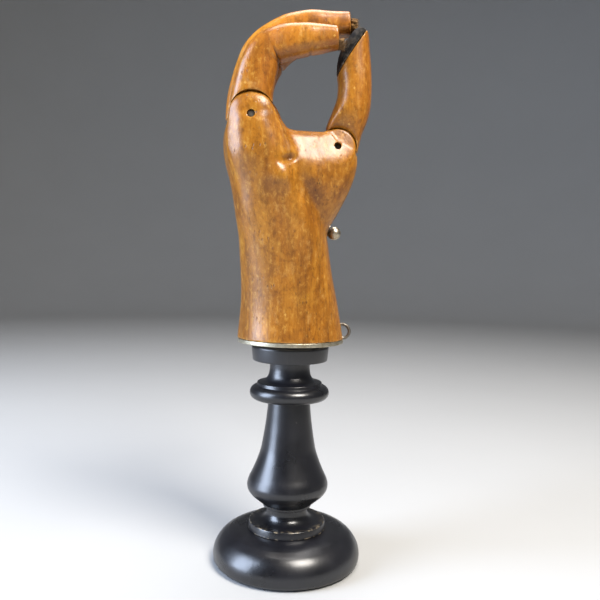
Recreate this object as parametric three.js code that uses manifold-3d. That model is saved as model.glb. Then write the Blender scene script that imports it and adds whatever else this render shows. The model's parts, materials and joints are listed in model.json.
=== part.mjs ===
// A carved wooden left hand with hinged fingers and thumb, on a turned stand.
// Millimetres, +Z up. The origin is the centre of the felt disc under the stand.
// The palm faces +X, the back of the hand -X and the thumb side -Y.
// Every hinge pin of the hand runs along Y. The hand is modelled as it rests: fingers and thumb closed.
import * as THREE from "three";
import { LoftGeometry } from "three/addons/geometries/LoftGeometry.js";
import { mergeVertices } from "three/addons/utils/BufferGeometryUtils.js";
import Module from "manifold-3d";

const wasm = await Module();
wasm.setup();

// ---- Driving dimensions ----
const GAP = 0.3; // between pieces that touch or slide
const ROUND = 40; // facets of a full turn

// The stand
const FELT = { radius: 36, top: 1 };
const FOOT = { radius: 40.4, bottom: 0.4, top: 18.8, counterbore: 5.4, socketFloor: 8.6 };
const DISC = { radius: 21.6, edge: 20.7, top: 22.8 };
const NECK_RADIUS = 11.1;
const TENON = { radius: 8, bottom: 9 };
const FILLET = { radius: 13.3, bottom: 30.6, top: 32.4 };
const BELLY = { radius: 22.3, z: 42 };
const BEAD = { radius: 21.7, wire: 3.7, z: 94 };
const BEAD_CAP = { radius: 17.6, z: 99.5 };
const COLLAR = { radius: 21.1, bottom: 111.6, top: 120.2 };
const COLLAR_TENON = { radius: 7.5, top: 117 };
const SPIGOT = { radius: 3.9, bottom: 98, top: 136 };
const WASHER = { radius: 15, top: 121.6 };
const PLATE = { radius: 28.4, top: 123.9 };
const PLATE_SCREW = { circle: 24.3, radius: 1.5, head: 3, length: 11, count: 4 };

// The hand
const WRIST_BOTTOM = 124;
const SHOULDER = 233.8; // top of the palm's own body, behind the knuckles
const KNUCKLE = { x: -20.7, z: 236.3, pin: 1.65, tongue: 7, floor: 212 };
const PALM_STOP = 26; // degrees: slope where a knuckle runs into the palm
const FINGER_FRONT = 36; // degrees: where a finger's socket ends on the palm side
const THUMB_AXIS = { x: 22.2, z: 224, pin: 1.5, radius: 9.2, y: [-26.5, -4.5] };
const THUMB_FRONT = -12; // degrees: where the thumb's socket ends on the palm side
const THUMB_NOTCH = [-21, 125]; // degrees: the palm is cut back here for the thumb to swing
const PAD_CUT = { from: [22.2, 261.5], to: [36, 283] }; // slanting face that holds the thumb's pad

// The thumb's brake, worked by the push knob
const ROCKER = { x: 1, z: 200, hub: 3.2, pin: 1.5, y: [-18, 4], arm: 2 };
const KNOB = { x: 23.2, y: 0, z: 181.2, ball: 3.5, stem: 1.6, head: 3, travel: 2.5 };
const SHOE = { x: [18, 25], z: [213.7, 217], width: 4.8 };
const BUSH = { radius: 3, bore: 2, outer: 16 };
const EYE = { wire: 0.7, bend: 3.75, x: 28.2, z: 128.4, leg: 7, legs: [125.6, 132.15] };

// Palm sections: height, x range, y range, exponent of the superellipse
const PALM = [
  [124, [-28.4, 28.4], [-28.4, 28.4], 2],
  [134, [-27.4, 26.8], [-27.6, 27.6], 2],
  [146, [-27.1, 24.5], [-27.6, 28], 2.1],
  [157, [-27.4, 22.2], [-28.2, 29], 2.1],
  [168, [-28.2, 20.2], [-29.3, 30.5], 2.2],
  [179, [-28.9, 18.5], [-31, 32.5], 2.3],
  [190, [-30.5, 15.5], [-33.2, 34.6], 2.4],
  [201, [-32.3, 11], [-35.4, 35.8], 2.5],
  [212, [-34.7, 5], [-37.2, 36.2], 2.6],
  [222, [-36.3, -0.5], [-37.9, 36], 2.7],
  [229, [-36.2, -4], [-37.9, 35.6], 2.7],
  [SHOULDER, [-34.9, -7], [-37.9, 35.2], 2.8],
];

// Ball of the thumb and the web that joins it to the palm, in the same form
const THENAR = [
  [167, [-2, 13], [-22, -4], 2.2],
  [176, [-2, 16.4], [-26.4, -1], 2.2],
  [184, [-2, 21.1], [-28.5, -1], 2.3],
  [193, [-3, 25.1], [-29.5, -2], 2.4],
  [203, [-4, 29.5], [-30, -3], 2.6],
  [211, [-5, 32], [-29.5, -3.6], 2.8],
  [217, [-6, 32.9], [-28.5, -4.2], 3],
  [222, [-7, 32], [-27.5, -4.4], 3.2],
  [231.4, [-9, 26], [-26.8, -4.5], 3.4],
];

// Outline of the knuckles seen from above, in the same form: it starts as the palm's own section
const KNUCKLE_ROW = [
  [KNUCKLE.floor, [-34.7, 5], [-37.2, 36.2], 2.6],
  [223, [-39, 6], [-37.9, 35.8], 4],
  [236, [-40, 3], [-38.1, 35.8], 5],
  [256, [-40, 0], [-37.7, 35.4], 5],
];

// Fingers. radius is the knuckle's, back the socket's end on the back of the hand in degrees, tip the
// width at the end, and spine the centreline from the pin: forward, up, thickness
const FINGERS = [
  {
    name: "finger_index", y: [-38, -19.6], radius: 11.5, back: 160, tip: 14,
    spine: [
      [-0.1, 0, 23], [-0.4, 9.7, 20.8], [1.1, 18.2, 20], [2.8, 24.7, 19.4], [5.2, 31, 17.2],
      [9.4, 34.2, 17], [15.4, 36.4, 16.8], [24, 37.7, 15.6], [33.7, 38.6, 13.2], [41.5, 39.3, 10.4],
    ],
  },
  {
    name: "finger_middle", y: [-19, -0.4], radius: 13.6, back: 172, tip: 14,
    spine: [
      [-1.4, 0, 30], [-3.4, 11.7, 23], [-2.3, 20.7, 21.4], [-0.3, 29.4, 20], [2, 36.7, 18.2],
      [5.2, 41.3, 16.4], [10.8, 45.5, 15.6], [18.2, 49.3, 15.4], [26.4, 51.2, 14.8], [37, 52.1, 12.6],
      [48.3, 53.4, 9.9],
    ],
  },
  {
    name: "finger_ring", y: [0.2, 18.6], radius: 13.2, back: 172, tip: 13.4,
    spine: [
      [-1.6, 0, 28], [-3.6, 11.7, 22], [-2.4, 20.7, 20.6], [0.2, 29, 19.6], [3.2, 34.8, 19],
      [6.6, 39.4, 18.2], [11.4, 43.8, 16.8], [18, 47.6, 15.4], [25.7, 49.8, 14.2],
      [34.7, 50.8, 12.2], [42.6, 51.4, 9.8],
    ],
  },
  {
    name: "finger_little", y: [19.2, 35.2], radius: 10.6, back: 160, tip: 11.6,
    spine: [
      [-0.4, 0, 21], [-2, 9.7, 18], [-2.4, 17.7, 16.6], [-1.4, 25.7, 15.4], [0.6, 34, 14.4],
      [4.4, 42, 13.4], [9.8, 48.2, 12.7], [16.4, 52.2, 12.2], [23.4, 54.2, 11.6], [30.5, 55, 10],
    ],
  },
];

// The thumb's centreline from its pin, in the same form, and its width at the joint and the tip
const THUMB = {
  width: 22, tip: 18,
  spine: [
    [1, 0, 19.6], [3.8, 10.3, 18.5], [5.8, 15.4, 18.4], [7.5, 20.9, 18], [8.2, 26.3, 17.4],
    [8.2, 33, 17.2], [7.7, 38.4, 17.6], [7.7, 44, 16.8], [8.6, 50, 14.2], [9.9, 54.6, 10.8],
    [11, 58.8, 7.2],
  ],
};

// ---- Materials ----
const material = (color, roughness, metalness = 0) =>
  new THREE.MeshStandardMaterial({ color, roughness, metalness });
const MATERIALS = {
  fruitwood: material(0xb87a3a, 0.4),
  ebonised: material(0x17171b, 0.35),
  steel: material(0x8a8880, 0.45, 1),
  aluminium: material(0xc9c7bd, 0.4, 1),
  brass: material(0xa8874e, 0.4, 1),
  felt: material(0x5a4a30, 0.95),
  rubber: material(0x24211f, 0.7),
  leather: material(0x5b3a22, 0.7),
};

// ---- Solids from three.js geometry, and back ----
function solid(geometry) {
  const bare = geometry.index ? geometry.toNonIndexed() : geometry.clone();
  bare.deleteAttribute("normal");
  bare.deleteAttribute("uv");
  const merged = mergeVertices(bare, 1e-4);
  return new wasm.Manifold(
    new wasm.Mesh({
      numProp: 3,
      vertProperties: new Float32Array(merged.attributes.position.array),
      triVerts: new Uint32Array(merged.index.array),
    }),
  );
}

function geometryOf(manifold) {
  const mesh = manifold.getMesh();
  return new THREE.BufferGeometry()
    .setAttribute("position", new THREE.BufferAttribute(mesh.vertProperties, 3))
    .setIndex(new THREE.BufferAttribute(mesh.triVerts, 1));
}

// ---- Basic shapes ----
const radians = THREE.MathUtils.degToRad;
const middle = ([low, high]) => (low + high) / 2;

// A rod along Y from y[0] to y[1], centred on x, z
function rodY(radius, y, x, z, facets = ROUND) {
  const length = y[1] - y[0];
  return new THREE.CylinderGeometry(radius, radius, length, facets).translate(x, middle(y), z);
}

// A rod along Z from z[0] to z[1]
function rodZ(radius, z, x = 0, y = 0, facets = ROUND) {
  const length = z[1] - z[0];
  return new THREE.CylinderGeometry(radius, radius, length, facets)
    .rotateX(Math.PI / 2)
    .translate(x, y, middle(z));
}

// A rod along X from x[0] to x[1]
function rodX(radius, x, y, z, facets = ROUND) {
  const length = x[1] - x[0];
  return new THREE.CylinderGeometry(radius, radius, length, facets)
    .rotateZ(Math.PI / 2)
    .translate(middle(x), y, z);
}

function block(x, y, z) {
  const sides = [x, y, z].map(([low, high]) => high - low);
  return new THREE.BoxGeometry(...sides).translate(middle(x), middle(y), middle(z));
}

// A flat shape drawn in x and z, made into a slab from y[0] to y[1]
function slabY(shape, y, curveSegments = ROUND / 2) {
  return new THREE.ExtrudeGeometry(shape, { depth: y[1] - y[0], bevelEnabled: false, curveSegments })
    .rotateX(Math.PI / 2)
    .translate(0, y[1], 0);
}

// The part of a disc round a pivot between two angles, in degrees from +X towards +Z
function sector(pivot, radius, [from, to]) {
  const shape = new THREE.Shape();
  const start = radians(from);
  shape.moveTo(pivot.x, pivot.z);
  shape.lineTo(pivot.x + radius * Math.cos(start), pivot.z + radius * Math.sin(start));
  shape.absarc(pivot.x, pivot.z, radius, start, radians(to), false);
  shape.closePath();
  return shape;
}

// A turned piece: the profile's points are radius and height, from the bottom up
function turned(profile, facets = ROUND) {
  const points = profile.map(([radius, z]) => new THREE.Vector2(radius, z));
  return new THREE.LatheGeometry(points, facets).rotateX(Math.PI / 2);
}

// Points on an arc of a turned profile, in degrees from outwards towards up
function profileArc(r, z, radius, from, to, steps) {
  return Array.from({ length: steps + 1 }, (_, i) => {
    const angle = radians(from + ((to - from) * i) / steps);
    return [r + radius * Math.cos(angle), z + radius * Math.sin(angle)];
  });
}

// ---- Lofts with superellipse sections ----
// One section in the plane of across and +Y, counterclockwise seen from the loft's end
function section(centre, across, halfAcross, halfWide, power, facets) {
  const bow = (value) => Math.sign(value) * Math.abs(value) ** (2 / power);
  return Array.from({ length: facets }, (_, i) => {
    const angle = (2 * Math.PI * i) / facets;
    return centre
      .clone()
      .addScaledVector(across, halfAcross * bow(Math.cos(angle)))
      .add(new THREE.Vector3(0, halfWide * bow(Math.sin(angle)), 0));
  });
}

// A body with level sections: rows of height, x range, y range, power
function levelLoft(rows, facets, steps) {
  const middles = new THREE.CatmullRomCurve3(
    rows.map(([z, x, y]) => new THREE.Vector3(middle(x), middle(y), z)),
  );
  const sizes = new THREE.CatmullRomCurve3(
    rows.map(([, x, y, power]) => new THREE.Vector3(x[1] - x[0], y[1] - y[0], power)),
  );
  const across = new THREE.Vector3(1, 0, 0);
  const sections = Array.from({ length: steps + 1 }, (_, i) => {
    const size = sizes.getPoint(i / steps);
    return section(middles.getPoint(i / steps), across, size.x / 2, size.y / 2, size.z, facets);
  });
  return new LoftGeometry(sections, { capStart: true, capEnd: true });
}

// A finger or thumb: its spine is drawn from the pivot in x and z, and its width runs along Y
function limbLoft(pivot, spine, y, widths, power, facets, steps) {
  const line = new THREE.CatmullRomCurve3(
    spine.map(([forward, up]) => new THREE.Vector3(pivot.x + forward, middle(y), pivot.z + up)),
  );
  const thickness = new THREE.CatmullRomCurve3(
    spine.map(([, , thick]) => new THREE.Vector3(thick, 0, 0)),
  );
  const sections = Array.from({ length: steps + 1 }, (_, i) => {
    const t = i / steps;
    const along = line.getTangent(t);
    const across = new THREE.Vector3(along.z, 0, -along.x);
    const wide = THREE.MathUtils.lerp(widths[0], widths[1], t * t);
    const thick = thickness.getPoint(t).x;
    return section(line.getPoint(t), across, thick / 2, wide / 2, power, facets);
  });
  return new LoftGeometry(sections, { capStart: true, capEnd: true });
}

// ---- The stand ----
function baseFelt() {
  return rodZ(FELT.radius, [0, FELT.top]);
}

function foot() {
  const outside = turned([
    [0, FOOT.bottom], [38.4, FOOT.bottom], [39.9, 2.2], [FOOT.radius, 4.8], [39.9, 8.4],
    [38, 11.8], [35.4, 14.8], [31.6, 17.2], [27, FOOT.top], [0, FOOT.top],
  ]);
  return solid(outside)
    .subtract(solid(rodZ(FELT.radius + GAP, [0, FELT.top])))
    .subtract(solid(rodZ(TENON.radius + GAP, [FOOT.socketFloor, FOOT.top + 1])))
    .subtract(solid(rodZ(2.8, [0, FOOT.socketFloor + 1])))
    .subtract(solid(rodZ(8, [0, FOOT.counterbore], 0, 0, 24)));
}

function footScrew() {
  return turned([[0, 1.9], [4.6, 1.9], [5, 3.9], [2.4, 3.9], [2.4, 27], [0, 29]], 24);
}

function footWasher() {
  return solid(rodZ(7, [4, 4.9], 0, 0, 24)).subtract(solid(rodZ(2.8, [3, 6], 0, 0, 24)));
}

function column() {
  const belly = profileArc(19, BELLY.z, BELLY.radius - 19, -62, 28, 6);
  const bead = profileArc(BEAD.radius - BEAD.wire, BEAD.z, BEAD.wire, -90, 90, 8);
  const lowerCove = profileArc(16.1, 28, 5, -90, -180, 5);
  const upperCove = profileArc(17.4, 106, 6.3, -90, -180, 5);
  const outside = turned([
    [0, TENON.bottom], [TENON.radius, TENON.bottom], [TENON.radius, FOOT.top],
    [DISC.radius, FOOT.top], [DISC.edge, DISC.top], ...lowerCove,
    [NECK_RADIUS, FILLET.bottom], [FILLET.radius, FILLET.bottom], [FILLET.radius, FILLET.top],
    [16.2, 34.6], ...belly, [19.6, 50], [17.2, 56], [15.3, 61.6], [13.3, 72.8], [11.9, 84],
    [NECK_RADIUS, 90], ...bead, [BEAD_CAP.radius, 98.2], [BEAD_CAP.radius, BEAD_CAP.z], ...upperCove,
    [NECK_RADIUS, COLLAR.bottom], [COLLAR_TENON.radius, COLLAR.bottom],
    [COLLAR_TENON.radius, COLLAR_TENON.top], [0, COLLAR_TENON.top],
  ]);
  return solid(outside)
    .subtract(solid(rodZ(2.7, [0, 30], 0, 0, 24)))
    .subtract(solid(rodZ(SPIGOT.radius + GAP, [SPIGOT.bottom - 1, 130], 0, 0, 24)));
}

function collar() {
  const outside = turned([
    [0, COLLAR.bottom], [20.2, COLLAR.bottom], [20.8, 112.6], [COLLAR.radius, 119.5],
    [20.5, COLLAR.top], [0, COLLAR.top],
  ]);
  return solid(outside)
    .subtract(solid(rodZ(COLLAR_TENON.radius + GAP, [COLLAR.bottom - 1, COLLAR_TENON.top + GAP])))
    .subtract(solid(rodZ(SPIGOT.radius + GAP, [110, 130], 0, 0, 24)));
}

// The threaded spigot that stands in the column, and the nut that keeps the wrist plate on it
function spigot() {
  return rodZ(SPIGOT.radius, [SPIGOT.bottom, SPIGOT.top], 0, 0, 24);
}

function spigotNut() {
  return solid(rodZ(7.4, [126.2, 132.4], 0, 0, 6)).subtract(
    solid(rodZ(SPIGOT.radius + GAP, [120, 140], 0, 0, 24)),
  );
}

function ring(radius, bore, z) {
  return solid(rodZ(radius, z)).subtract(solid(rodZ(bore, [z[0] - 1, z[1] + 1], 0, 0, 24)));
}

// ---- The wrist ----
const screwPlaces = Array.from({ length: PLATE_SCREW.count }, (_, i) => {
  const angle = ((i + 0.5) / PLATE_SCREW.count) * 2 * Math.PI;
  return [PLATE_SCREW.circle * Math.cos(angle), PLATE_SCREW.circle * Math.sin(angle)];
});

function wristPlate() {
  let plate = ring(PLATE.radius, SPIGOT.radius + GAP, [WASHER.top, PLATE.top]);
  for (const [x, y] of screwPlaces) {
    const sink = turned([
      [0, WASHER.top - 0.1], [PLATE_SCREW.head + GAP, WASHER.top - 0.1],
      [PLATE_SCREW.radius + GAP, PLATE.top + 0.1], [0, PLATE.top + 0.1],
    ], 20).translate(x, y, 0);
    plate = plate.subtract(solid(sink));
  }
  return plate;
}

function plateScrew([x, y]) {
  const { radius, head, length } = PLATE_SCREW;
  const bottom = WASHER.top + 0.1;
  return turned([
    [0, bottom], [head, bottom], [radius, PLATE.top - 0.1], [radius, bottom + length - 2],
    [0, bottom + length],
  ], 20).translate(x, y, 0);
}

// ---- The palm ----
// Side of a knuckle: round over the pin, straight at the back, sloping into the palm in front
function knuckleShape(radius) {
  const { x, z } = KNUCKLE;
  const slope = radians(PALM_STOP);
  const { floor } = KNUCKLE;
  const front = (z + radius * Math.sin(slope) - floor) / Math.cos(slope);
  const shape = new THREE.Shape();
  shape.moveTo(x - radius + 3, floor);
  shape.lineTo(x - radius, z - 8);
  shape.lineTo(x - radius, z);
  shape.absarc(x, z, radius, Math.PI, slope, true);
  shape.lineTo(x + radius * Math.cos(slope) + front * Math.sin(slope) * 0.75, floor);
  shape.closePath();
  return shape;
}

// The slot that a finger's tongue turns in
function tongueSlot(finger) {
  const half = KNUCKLE.tongue / 2 + GAP;
  const y = [middle(finger.y) - half, middle(finger.y) + half];
  const round = rodY(finger.radius - 0.6, y, KNUCKLE.x, KNUCKLE.z);
  const way = slabY(sector(KNUCKLE, finger.radius + 6, [40, 174]), y);
  return solid(round).add(solid(way));
}

function thumbSlot() {
  const half = KNUCKLE.tongue / 2 + GAP;
  const y = [middle(THUMB_AXIS.y) - half, middle(THUMB_AXIS.y) + half];
  const round = rodY(THUMB_AXIS.radius - 0.4, y, THUMB_AXIS.x, THUMB_AXIS.z);
  const way = slabY(sector(THUMB_AXIS, THUMB_AXIS.radius + 6, [-10, 118]), y);
  return solid(round).add(solid(way));
}

// The hollow for the brake: round the rocker's hub, below it for one arm, and up to the thumb for the other
function brakePocket() {
  const { x, z, hub, y } = ROCKER;
  const reach = hub + 2;
  const shoeY = [middle(THUMB_AXIS.y) - 3.8, middle(THUMB_AXIS.y) + 3.8];
  return solid(block([x - 7, x + reach], [y[0] - 1.5, y[1] + 1.5], [z - reach, z + reach]))
    .add(solid(block([x - 7, 12], [-4, 4], [172, 192])))
    .add(solid(block([x - 7, x + reach], [-4, 4], [172, z])))
    .add(solid(block([x, 22], shoeY, [198.5, 217])))
    .add(solid(block([x, 27.6], shoeY, [205, 217])));
}

function palm() {
  let body = solid(levelLoft(PALM, 36, 18)).add(solid(levelLoft(THENAR, 26, 12)));
  const notchY = [THUMB_AXIS.y[0] - 6, THUMB_AXIS.y[1] + 6];
  body = body.subtract(solid(slabY(sector(THUMB_AXIS, 20, THUMB_NOTCH), notchY)));
  body = body.add(solid(rodY(THUMB_AXIS.radius, THUMB_AXIS.y, THUMB_AXIS.x, THUMB_AXIS.z)));
  const row = solid(levelLoft(KNUCKLE_ROW, 36, 6));
  for (const finger of FINGERS) {
    const y = [finger.y[0], finger.y[1] + 0.6];
    body = body.add(solid(slabY(knuckleShape(finger.radius), y)).intersect(row));
  }
  for (const finger of FINGERS) body = body.subtract(tongueSlot(finger));
  const hollows = [
    rodZ(16, [WRIST_BOTTOM - 1, 160], -2),
    rodY(KNUCKLE.pin + GAP, [-50, 50], KNUCKLE.x, KNUCKLE.z, 20),
    rodY(THUMB_AXIS.pin + GAP, [-50, 0], THUMB_AXIS.x, THUMB_AXIS.z, 20),
    rodY(ROCKER.pin + GAP, [-25, 11], ROCKER.x, ROCKER.z, 20),
    rodX(BUSH.radius + GAP, [10, BUSH.outer], KNOB.y, KNOB.z, 24),
    rodX(KNOB.ball + 0.8, [BUSH.outer, 30], KNOB.y, KNOB.z, 24),
    ...EYE.legs.map((z) => rodX(EYE.wire + GAP, [EYE.x - EYE.leg - 1, 40], 0, z, 12)),
    ...screwPlaces.map(([x, y]) =>
      rodZ(PLATE_SCREW.radius + GAP, [120, WASHER.top + PLATE_SCREW.length + 1], x, y, 12),
    ),
  ];
  for (const hollow of hollows) body = body.subtract(solid(hollow));
  return body.subtract(thumbSlot()).subtract(brakePocket());
}

// ---- Fingers and thumb ----
// The tongue: a round plate on the pin, and a neck of the limb's own wood that joins it to the limb
function tongue(blank, pivot, radius, y, angles) {
  const half = KNUCKLE.tongue / 2;
  const span = [middle(y) - half, middle(y) + half];
  const plate = rodY(radius, span, pivot.x, pivot.z);
  const neck = slabY(sector(pivot, radius + 5, angles), span);
  return solid(neck).intersect(blank).add(solid(plate));
}

function finger({ y, radius, back, tip, spine }) {
  const wide = y[1] - y[0] - 2 * GAP;
  const blank = solid(limbLoft(KNUCKLE, spine, y, [wide, tip], 3, 24, 18));
  const socket = rodY(radius + GAP, [y[0] - 1, y[1] + 1], KNUCKLE.x, KNUCKLE.z, 56);
  const open = slabY(sector(KNUCKLE, 90, [FINGER_FRONT, back]), [y[0] - 1, y[1] + 1]);
  const pinHole = rodY(KNUCKLE.pin + GAP, [y[0] - 1, y[1] + 1], KNUCKLE.x, KNUCKLE.z, 20);
  return blank
    .subtract(solid(socket))
    .intersect(solid(open))
    .add(tongue(blank, KNUCKLE, radius - 1, y, [52, 148]))
    .subtract(solid(pinHole));
}

// The felt glued to the lower part of a finger's end
function tipFelt({ y, tip, spine }, thick) {
  const [before, end] = spine.slice(-2).map(([forward, up]) => new THREE.Vector2(forward, up));
  const along = end.clone().sub(before).normalize();
  const start = end.clone().addScaledVector(along, GAP);
  const below = new THREE.Vector2(along.y, -along.x);
  start.addScaledVector(below, 0.15 * spine.at(-1)[2]);
  const size = 0.62 * spine.at(-1)[2];
  const stop = start.clone().addScaledVector(along, thick);
  const rows = [[start.x, start.y, size], [stop.x, stop.y, size - 1]];
  return limbLoft(KNUCKLE, rows, y, [tip - 0.8, tip - 1.6], 3, 24, 2);
}

function thumbBlank() {
  return solid(
    limbLoft(THUMB_AXIS, THUMB.spine, THUMB_AXIS.y, [THUMB.width, THUMB.tip], 3, 24, 16),
  );
}

// Everything on the palm side of the pad's slanting face, drawn in by an offset
function padSide(offset) {
  const [x0, z0] = PAD_CUT.from;
  const [x1, z1] = PAD_CUT.to;
  const length = Math.hypot(x1 - x0, z1 - z0);
  const across = [-(z1 - z0) / length, (x1 - x0) / length];
  const point = (share, side) => [
    x0 + (x1 - x0) * share + across[0] * side,
    z0 + (z1 - z0) * share + across[1] * side,
  ];
  const start = offset / length;
  const corners = [point(start, offset), point(1.6, offset), point(1.6, 40), point(start, 40)];
  const shape = new THREE.Shape(corners.map(([x, z]) => new THREE.Vector2(x, z)));
  return slabY(shape, [THUMB_AXIS.y[0] - 2, THUMB_AXIS.y[1] + 2]);
}

function thumb() {
  const { x, z, radius, y, pin } = THUMB_AXIS;
  const wideY = [y[0] - 2, y[1] + 2];
  const open = slabY(sector(THUMB_AXIS, 90, [THUMB_FRONT, 122]), wideY);
  const blank = thumbBlank();
  return blank
    .subtract(solid(rodY(radius + GAP, wideY, x, z, 56)))
    .intersect(solid(open))
    .subtract(solid(padSide(0)))
    .add(tongue(blank, THUMB_AXIS, radius - 0.8, y, [8, 100]))
    .subtract(solid(rodY(pin + GAP, wideY, x, z, 20)));
}

function thumbPad() {
  return thumbBlank().intersect(solid(padSide(GAP)));
}

// ---- Brake and fittings ----
// A bell-crank: pushing its lower arm back draws the other arm, with the shoe, down from the thumb
function brakeRocker() {
  const { x, z, hub, pin, y, arm } = ROCKER;
  const plate = (corners, at) => {
    const shape = new THREE.Shape(corners.map(([px, pz]) => new THREE.Vector2(px, pz)));
    return solid(slabY(shape, [at - arm, at + arm]));
  };
  const lower = plate(
    [[x - 2, z], [2.6, 190], [5.4, 184], [6.2, 177.5], [9.2, 177.5], [9.2, 184], [5.6, 190], [x + 2, z]],
    KNOB.y,
  );
  const upper = plate(
    [[x, z - 2], [9, 201.6], [18, 206.8], [25, 210.2], [25, 213.4], [17, 213.4], [x, z + 2.8]],
    middle(THUMB_AXIS.y),
  );
  return solid(rodY(hub, y, x, z, 24))
    .add(lower)
    .add(upper)
    .subtract(solid(rodY(pin + GAP, [y[0] - 1, y[1] + 1], x, z, 20)));
}

// The leather glued to the rocker, hollowed to fit the thumb's tongue
function brakeShoe() {
  const { x, z, width } = SHOE;
  const at = middle(THUMB_AXIS.y);
  const pad = block(x, [at - width / 2, at + width / 2], z);
  const bearing = rodY(THUMB_AXIS.radius - 0.8 + GAP, [-30, 0], THUMB_AXIS.x, THUMB_AXIS.z, 56);
  return solid(pad).subtract(solid(bearing));
}

// A torsion spring wound round the rocker's hub
function brakeSpring() {
  const { x, z, hub } = ROCKER;
  const [wire, turns, perTurn, from, to] = [0.45, 5, 12, -11, -4];
  const radius = hub + GAP + wire;
  const points = Array.from({ length: turns * perTurn + 1 }, (_, i) => {
    const angle = (2 * Math.PI * i) / perTurn;
    const y = from + ((to - from) * i) / (turns * perTurn);
    return new THREE.Vector3(x + radius * Math.cos(angle), y, z + radius * Math.sin(angle));
  });
  const circle = new THREE.Shape().absarc(0, 0, wire, 0, 2 * Math.PI, false);
  return new THREE.ExtrudeGeometry(circle, {
    extrudePath: new THREE.CatmullRomCurve3(points),
    steps: turns * perTurn,
    curveSegments: 3,
    bevelEnabled: false,
  });
}

function releaseKnob() {
  const { x, y, z, ball, stem, head } = KNOB;
  const sphere = new THREE.SphereGeometry(ball, 20, 12).translate(x, y, z);
  return solid(sphere)
    .add(solid(rodX(stem, [9.6, x], y, z, 20)))
    .add(solid(rodX(head, [9.6, 11.4], y, z, 20)));
}

function knobBush() {
  return solid(rodX(BUSH.radius, [12.2, BUSH.outer], KNOB.y, KNOB.z, 24)).subtract(
    solid(rodX(BUSH.bore, [10, 20], KNOB.y, KNOB.z, 24)),
  );
}

// A bent wire: two legs in the wood and a bow between them
function wireEye() {
  const { x, z, bend, wire, leg, legs } = EYE;
  const bow = profileArc(x, z, bend, -48, 90, 8);
  const lower = [x - leg, x - leg / 3].map((at) => [at, legs[0]]);
  const upper = [x - leg / 3, x - leg].map((at) => [at, legs[1]]);
  const points = [...lower, ...bow, ...upper].map(([px, pz]) => new THREE.Vector3(px, 0, pz));
  const circle = new THREE.Shape().absarc(0, 0, wire, 0, 2 * Math.PI, false);
  return new THREE.ExtrudeGeometry(circle, {
    extrudePath: new THREE.CatmullRomCurve3(points),
    steps: 30,
    curveSegments: 8,
    bevelEnabled: false,
  });
}

// ---- The assembly ----
const hand = new THREE.Group();

function place(name, shape, kind) {
  const geometry = shape.isBufferGeometry ? shape : geometryOf(shape);
  const mesh = new THREE.Mesh(geometry, MATERIALS[kind]);
  mesh.name = name;
  hand.add(mesh);
}

place("base_felt", baseFelt(), "felt");
place("foot", foot(), "ebonised");
place("foot_screw", footScrew(), "steel");
place("foot_washer", footWasher(), "steel");
place("column", column(), "ebonised");
place("collar", collar(), "ebonised");
place("spigot", spigot(), "steel");
place("spigot_nut", spigotNut(), "steel");
place("nut_washer", ring(9, SPIGOT.radius + GAP, [PLATE.top + 0.2, 125.9]), "steel");
place("swivel_washer", ring(WASHER.radius, SPIGOT.radius + GAP, [COLLAR.top, WASHER.top]), "leather");
place("wrist_plate", wristPlate(), "aluminium");
screwPlaces.forEach((at, i) => place(`wrist_screw_${i + 1}`, plateScrew(at), "steel"));

place("palm", palm(), "fruitwood");
for (const each of FINGERS) place(each.name, finger(each), "fruitwood");
place("index_tip_felt", tipFelt(FINGERS[0], 2), "felt");
place("middle_tip_felt", tipFelt(FINGERS[1], 2.4), "felt");
place("knuckle_pin", rodY(KNUCKLE.pin, [-37.4, 34.8], KNUCKLE.x, KNUCKLE.z, 20), "steel");
place("thumb", thumb(), "fruitwood");
place("thumb_pad", thumbPad(), "rubber");
place("thumb_pin", rodY(THUMB_AXIS.pin, [-19, -5.4], THUMB_AXIS.x, THUMB_AXIS.z, 20), "steel");

place("brake_rocker", brakeRocker(), "steel");
place("brake_shoe", brakeShoe(), "leather");
place("brake_pin", rodY(ROCKER.pin, [-24, 10], ROCKER.x, ROCKER.z, 20), "steel");
place("brake_spring", brakeSpring(), "steel");
place("release_knob", releaseKnob(), "brass");
place("knob_bush", knobBush(), "brass");
place("wire_eye", wireEye(), "steel");

export default hand;
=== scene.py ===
"""A carved wooden left hand with hinged fingers and thumb, on a turned black stand.

Lengths in this script's tables are millimetres; MM turns them into the frame's metres.
The carved pieces are smooth solids written as signed distances, meshed with surface nets.
"""

import json
import math

import bpy
import numpy as np
from mathutils import Matrix, Vector


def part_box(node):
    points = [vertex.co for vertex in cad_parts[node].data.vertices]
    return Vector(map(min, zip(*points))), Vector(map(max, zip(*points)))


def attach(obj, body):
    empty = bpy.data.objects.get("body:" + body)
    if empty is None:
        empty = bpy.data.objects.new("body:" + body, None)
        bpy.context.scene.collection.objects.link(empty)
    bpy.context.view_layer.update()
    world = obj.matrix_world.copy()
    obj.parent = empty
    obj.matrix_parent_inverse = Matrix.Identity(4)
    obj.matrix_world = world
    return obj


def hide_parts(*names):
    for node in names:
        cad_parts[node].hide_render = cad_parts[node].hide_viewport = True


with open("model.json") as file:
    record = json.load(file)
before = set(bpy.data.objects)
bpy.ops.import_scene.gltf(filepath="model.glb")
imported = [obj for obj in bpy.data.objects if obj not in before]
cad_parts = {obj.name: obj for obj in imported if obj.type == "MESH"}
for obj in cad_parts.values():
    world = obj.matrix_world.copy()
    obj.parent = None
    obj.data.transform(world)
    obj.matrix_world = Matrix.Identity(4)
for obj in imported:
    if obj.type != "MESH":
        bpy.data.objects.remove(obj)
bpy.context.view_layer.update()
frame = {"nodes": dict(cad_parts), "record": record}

MM = 0.001
STEP = 0.55  # spacing of the grid that the carved pieces are meshed on
GAP = 0.3  # room round a pin, and between a limb and its socket

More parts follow.
